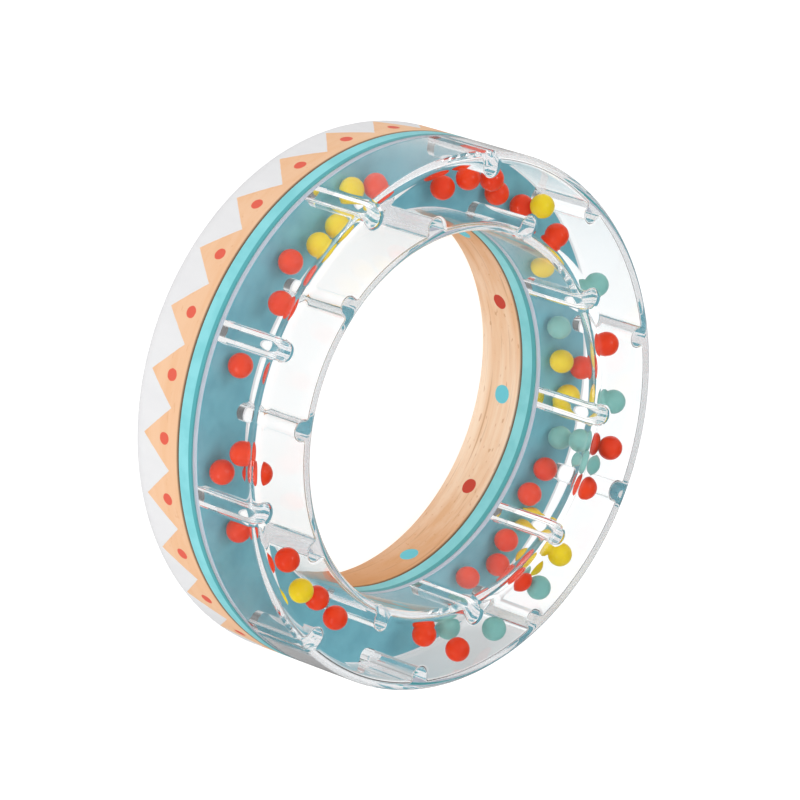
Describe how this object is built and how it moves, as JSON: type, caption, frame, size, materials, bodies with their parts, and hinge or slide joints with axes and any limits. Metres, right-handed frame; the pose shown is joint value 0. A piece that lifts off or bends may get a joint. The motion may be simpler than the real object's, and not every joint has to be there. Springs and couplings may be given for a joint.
{
  "type": "teething ring",
  "caption": "Round teething ring: a wooden half with a well-rounded back, and a clear ribbed channel half in which loose coloured beads rattle.",
  "frame": {"origin": "centre of the wooden back, on the ring's axis, where the ring lies on a table", "axes": "+Z along the ring's axis, from the wooden back to the clear front; +X through the middle of a bore dot and close to an outer rib"},
  "size_m": [0.085, 0.085, 0.0293],
  "materials": {
    "painted_wood": "beech, matt water-based paint on the rim, bare and oiled in the bore",
    "base_plastic": "moulded turquoise, satin gloss",
    "clear_plastic": "transparent, polished",
    "red_bead": "moulded, gloss",
    "yellow_bead": "moulded, gloss",
    "aqua_bead": "moulded, gloss"
  },
  "bodies": {
    "ring": {"wooden_ring": "painted_wood", "base_plate": "base_plastic", "clear_shell": "clear_plastic"},
    "bead_red_01": {"bead_red_01": "red_bead"},
    "bead_red_02": {"bead_red_02": "red_bead"},
    "bead_yellow_01": {"bead_yellow_01": "yellow_bead"},
    "bead_yellow_02": {"bead_yellow_02": "yellow_bead"},
    "bead_yellow_03": {"bead_yellow_03": "yellow_bead"},
    "bead_red_03": {"bead_red_03": "red_bead"},
    "bead_red_04": {"bead_red_04": "red_bead"},
    "bead_red_05": {"bead_red_05": "red_bead"},
    "bead_red_06": {"bead_red_06": "red_bead"},
    "bead_red_07": {"bead_red_07": "red_bead"},
    "bead_red_08": {"bead_red_08": "red_bead"},
    "bead_red_09": {"bead_red_09": "red_bead"},
    "bead_red_10": {"bead_red_10": "red_bead"},
    "bead_yellow_04": {"bead_yellow_04": "yellow_bead"},
    "bead_red_11": {"bead_red_11": "red_bead"},
    "bead_red_12": {"bead_red_12": "red_bead"},
    "bead_red_13": {"bead_red_13": "red_bead"},
    "bead_red_14": {"bead_red_14": "red_bead"},
    "bead_aqua_01": {"bead_aqua_01": "aqua_bead"},
    "bead_aqua_02": {"bead_aqua_02": "aqua_bead"},
    "bead_red_15": {"bead_red_15": "red_bead"},
    "bead_red_16": {"bead_red_16": "red_bead"},
    "bead_red_17": {"bead_red_17": "red_bead"},
    "bead_aqua_03": {"bead_aqua_03": "aqua_bead"},
    "bead_yellow_05": {"bead_yellow_05": "yellow_bead"},
    "bead_red_18": {"bead_red_18": "red_bead"},
    "bead_yellow_06": {"bead_yellow_06": "yellow_bead"},
    "bead_yellow_07": {"bead_yellow_07": "yellow_bead"},
    "bead_red_19": {"bead_red_19": "red_bead"},
    "bead_red_20": {"bead_red_20": "red_bead"},
    "bead_red_21": {"bead_red_21": "red_bead"},
    "bead_aqua_04": {"bead_aqua_04": "aqua_bead"},
    "bead_aqua_05": {"bead_aqua_05": "aqua_bead"},
    "bead_aqua_06": {"bead_aqua_06": "aqua_bead"},
    "bead_red_22": {"bead_red_22": "red_bead"},
    "bead_yellow_08": {"bead_yellow_08": "yellow_bead"},
    "bead_aqua_07": {"bead_aqua_07": "aqua_bead"},
    "bead_red_23": {"bead_red_23": "red_bead"},
    "bead_yellow_09": {"bead_yellow_09": "yellow_bead"},
    "bead_red_24": {"bead_red_24": "red_bead"},
    "bead_aqua_08": {"bead_aqua_08": "aqua_bead"},
    "bead_aqua_09": {"bead_aqua_09": "aqua_bead"},
    "bead_yellow_10": {"bead_yellow_10": "yellow_bead"},
    "bead_red_25": {"bead_red_25": "red_bead"},
    "bead_red_26": {"bead_red_26": "red_bead"},
    "bead_yellow_11": {"bead_yellow_11": "yellow_bead"},
    "bead_red_27": {"bead_red_27": "red_bead"},
    "bead_red_28": {"bead_red_28": "red_bead"},
    "bead_red_29": {"bead_red_29": "red_bead"}
  },
  "joints": [
    {"name": "bead_red_01_roll", "type": "hinge", "parent": "ring", "child": "bead_red_01", "pos_m": [0, 0, 0.0187], "axis": [0, 0, 1], "range_deg": [0, 13]},
    {"name": "bead_red_02_roll", "type": "hinge", "parent": "ring", "child": "bead_red_02", "pos_m": [0, 0, 0.0187], "axis": [0, 0, 1], "range_deg": [-16, 0]},
    {"name": "bead_yellow_01_rise", "type": "slide", "parent": "ring", "child": "bead_yellow_01", "axis": [0, 0, 1], "range_m": [-0.0001, 0.0081]},
    {"name": "bead_yellow_02_rise", "type": "slide", "parent": "ring", "child": "bead_yellow_02", "axis": [0, 0, 1], "range_m": [-0.001, 0.0072]},
    {"name": "bead_yellow_03_rise", "type": "slide", "parent": "ring", "child": "bead_yellow_03", "axis": [0, 0, 1], "range_m": [-0.001, 0.0072]},
    {"name": "bead_red_03_roll", "type": "hinge", "parent": "ring", "child": "bead_red_03", "pos_m": [0, 0, 0.0178], "axis": [0, 0, 1], "range_deg": [-2, 4]},
    {"name": "bead_red_04_roll", "type": "hinge", "parent": "ring", "child": "bead_red_04", "pos_m": [0, 0, 0.0197], "axis": [0, 0, 1], "range_deg": [-4, 11]},
    {"name": "bead_red_05_roll", "type": "hinge", "parent": "ring", "child": "bead_red_05", "pos_m": [0, 0, 0.0178], "axis": [0, 0, 1], "range_deg": [-4, 15]},
    {"name": "bead_red_06_roll", "type": "hinge", "parent": "ring", "child": "bead_red_06", "pos_m": [0, 0, 0.0207], "axis": [0, 0, 1], "range_deg": [-15, 0]},
    {"name": "bead_red_07_cross", "type": "slide", "parent": "ring", "child": "bead_red_07", "axis": [-0.2588, 0.9659, 0], "range_m": [-0.0013, 0.0012]},
    {"name": "bead_red_08_roll", "type": "hinge", "parent": "ring", "child": "bead_red_08", "pos_m": [0, 0, 0.0207], "axis": [0, 0, 1], "range_deg": [0, 13]},
    {"name": "bead_red_09_roll", "type": "hinge", "parent": "ring", "child": "bead_red_09", "pos_m": [0, 0, 0.0178], "axis": [0, 0, 1], "range_deg": [-9, 45]},
    {"name": "bead_red_10_roll", "type": "hinge", "parent": "ring", "child": "bead_red_10", "pos_m": [0, 0, 0.0254], "axis": [0, 0, 1], "range_deg": [-45, 4]},
    {"name": "bead_yellow_04_roll", "type": "hinge", "parent": "ring", "child": "bead_yellow_04", "pos_m": [0, 0, 0.0247], "axis": [0, 0, 1], "range_deg": [-4, 3]},
    {"name": "bead_red_11_rise", "type": "slide", "parent": "ring", "child": "bead_red_11", "axis": [0, 0, 1], "range_m": [-0.005, 0.0005]},
    {"name": "bead_red_12_roll", "type": "hinge", "parent": "ring", "child": "bead_red_12", "pos_m": [0, 0, 0.0247], "axis": [0, 0, 1], "range_deg": [0, 7]},
    {"name": "bead_red_13_roll", "type": "hinge", "parent": "ring", "child": "bead_red_13", "pos_m": [0, 0, 0.0207], "axis": [0, 0, 1], "range_deg": [-42, 1]},
    {"name": "bead_red_14_roll", "type": "hinge", "parent": "ring", "child": "bead_red_14", "pos_m": [0, 0, 0.0254], "axis": [0, 0, 1], "range_deg": [-10, 6]},
    {"name": "bead_aqua_01_roll", "type": "hinge", "parent": "ring", "child": "bead_aqua_01", "pos_m": [0, 0, 0.0207], "axis": [0, 0, 1], "range_deg": [-1, 12]},
    {"name": "bead_aqua_02_roll", "type": "hinge", "parent": "ring", "child": "bead_aqua_02", "pos_m": [0, 0, 0.0254], "axis": [0, 0, 1], "range_deg": [-6, 4]},
    {"name": "bead_red_15_roll", "type": "hinge", "parent": "ring", "child": "bead_red_15", "pos_m": [0, 0, 0.0178], "axis": [0, 0, 1], "range_deg": [-10, 4]},
    {"name": "bead_red_16_roll", "type": "hinge", "parent": "ring", "child": "bead_red_16", "pos_m": [0, 0, 0.0247], "axis": [0, 0, 1], "range_deg": [-10, 0]},
    {"name": "bead_red_17_roll", "type": "hinge", "parent": "ring", "child": "bead_red_17", "pos_m": [0, 0, 0.0178], "axis": [0, 0, 1], "range_deg": [-4, 0]},
    {"name": "bead_aqua_03_roll", "type": "hinge", "parent": "ring", "child": "bead_aqua_03", "pos_m": [0, 0, 0.0254], "axis": [0, 0, 1], "range_deg": [0, 4]},
    {"name": "bead_yellow_05_roll", "type": "hinge", "parent": "ring", "child": "bead_yellow_05", "pos_m": [0, 0, 0.0212], "axis": [0, 0, 1], "range_deg": [-2, 2]},
    {"name": "bead_red_18_cross", "type": "slide", "parent": "ring", "child": "bead_red_18", "axis": [-0.6293, -0.7771, 0], "range_m": [-0.0008, 0.0007]},
    {"name": "bead_yellow_06_roll", "type": "hinge", "parent": "ring", "child": "bead_yellow_06", "pos_m": [0, 0, 0.0247], "axis": [0, 0, 1], "range_deg": [-2, 11]},
    {"name": "bead_yellow_07_rise", "type": "slide", "parent": "ring", "child": "bead_yellow_07", "axis": [0, 0, 1], "range_m": [-0.0001, 0.0051]},
    {"name": "bead_red_19_rise", "type": "slide", "parent": "ring", "child": "bead_red_19", "axis": [0, 0, 1], "range_m": [-0.0001, 0.0081]},
    {"name": "bead_red_20_roll", "type": "hinge", "parent": "ring", "child": "bead_red_20", "pos_m": [0, 0, 0.0247], "axis": [0, 0, 1], "range_deg": [-11, 0]},
    {"name": "bead_red_21_cross", "type": "slide", "parent": "ring", "child": "bead_red_21", "axis": [-0.2924, -0.9563, 0], "range_m": [-0.0016, 0.0018]},
    {"name": "bead_aqua_04_cross", "type": "slide", "parent": "ring", "child": "bead_aqua_04", "axis": [-0.2079, -0.9781, 0], "range_m": [-0.0011, 0.0008]},
    {"name": "bead_aqua_05_roll", "type": "hinge", "parent": "ring", "child": "bead_aqua_05", "pos_m": [0, 0, 0.0178], "axis": [0, 0, 1], "range_deg": [-2, 4]},
    {"name": "bead_aqua_06_roll", "type": "hinge", "parent": "ring", "child": "bead_aqua_06", "pos_m": [0, 0, 0.0227], "axis": [0, 0, 1], "range_deg": [0, 6]},
    {"name": "bead_red_22_roll", "type": "hinge", "parent": "ring", "child": "bead_red_22", "pos_m": [0, 0, 0.0254], "axis": [0, 0, 1], "range_deg": [-4, 5]},
    {"name": "bead_yellow_08_roll", "type": "hinge", "parent": "ring", "child": "bead_yellow_08", "pos_m": [0, 0, 0.0178], "axis": [0, 0, 1], "range_deg": [-4, 2]},
    {"name": "bead_aqua_07_roll", "type": "hinge", "parent": "ring", "child": "bead_aqua_07", "pos_m": [0, 0, 0.0247], "axis": [0, 0, 1], "range_deg": [-5, 11]},
    {"name": "bead_red_23_roll", "type": "hinge", "parent": "ring", "child": "bead_red_23", "pos_m": [0, 0, 0.0178], "axis": [0, 0, 1], "range_deg": [-2, 5]},
    {"name": "bead_yellow_09_roll", "type": "hinge", "parent": "ring", "child": "bead_yellow_09", "pos_m": [0, 0, 0.0178], "axis": [0, 0, 1], "range_deg": [-4, 3]},
    {"name": "bead_red_24_roll", "type": "hinge", "parent": "ring", "child": "bead_red_24", "pos_m": [0, 0, 0.0254], "axis": [0, 0, 1], "range_deg": [-11, 9]},
    {"name": "bead_aqua_08_roll", "type": "hinge", "parent": "ring", "child": "bead_aqua_08", "pos_m": [0, 0, 0.0178], "axis": [0, 0, 1], "range_deg": [-3, 9]},
    {"name": "bead_aqua_09_roll", "type": "hinge", "parent": "ring", "child": "bead_aqua_09", "pos_m": [0, 0, 0.0247], "axis": [0, 0, 1], "range_deg": [-9, 22]},
    {"name": "bead_yellow_10_rise", "type": "slide", "parent": "ring", "child": "bead_yellow_10", "axis": [0, 0, 1], "range_m": [-0.0001, 0.0081]},
    {"name": "bead_red_25_roll", "type": "hinge", "parent": "ring", "child": "bead_red_25", "pos_m": [0, 0, 0.0207], "axis": [0, 0, 1], "range_deg": [-4, 5]},
    {"name": "bead_red_26_roll", "type": "hinge", "parent": "ring", "child": "bead_red_26", "pos_m": [0, 0, 0.0178], "axis": [0, 0, 1], "range_deg": [-6, 3]},
    {"name": "bead_yellow_11_roll", "type": "hinge", "parent": "ring", "child": "bead_yellow_11", "pos_m": [0, 0, 0.0217], "axis": [0, 0, 1], "range_deg": [-2, 12]},
    {"name": "bead_red_27_roll", "type": "hinge", "parent": "ring", "child": "bead_red_27", "pos_m": [0, 0, 0.0178], "axis": [0, 0, 1], "range_deg": [-3, 4]},
    {"name": "bead_red_28_roll", "type": "hinge", "parent": "ring", "child": "bead_red_28", "pos_m": [0, 0, 0.0207], "axis": [0, 0, 1], "range_deg": [-4, 1]},
    {"name": "bead_red_29_rise", "type": "slide", "parent": "ring", "child": "bead_red_29", "axis": [0, 0, 1], "range_m": [-0.0005, 0.0052]}
  ]
}
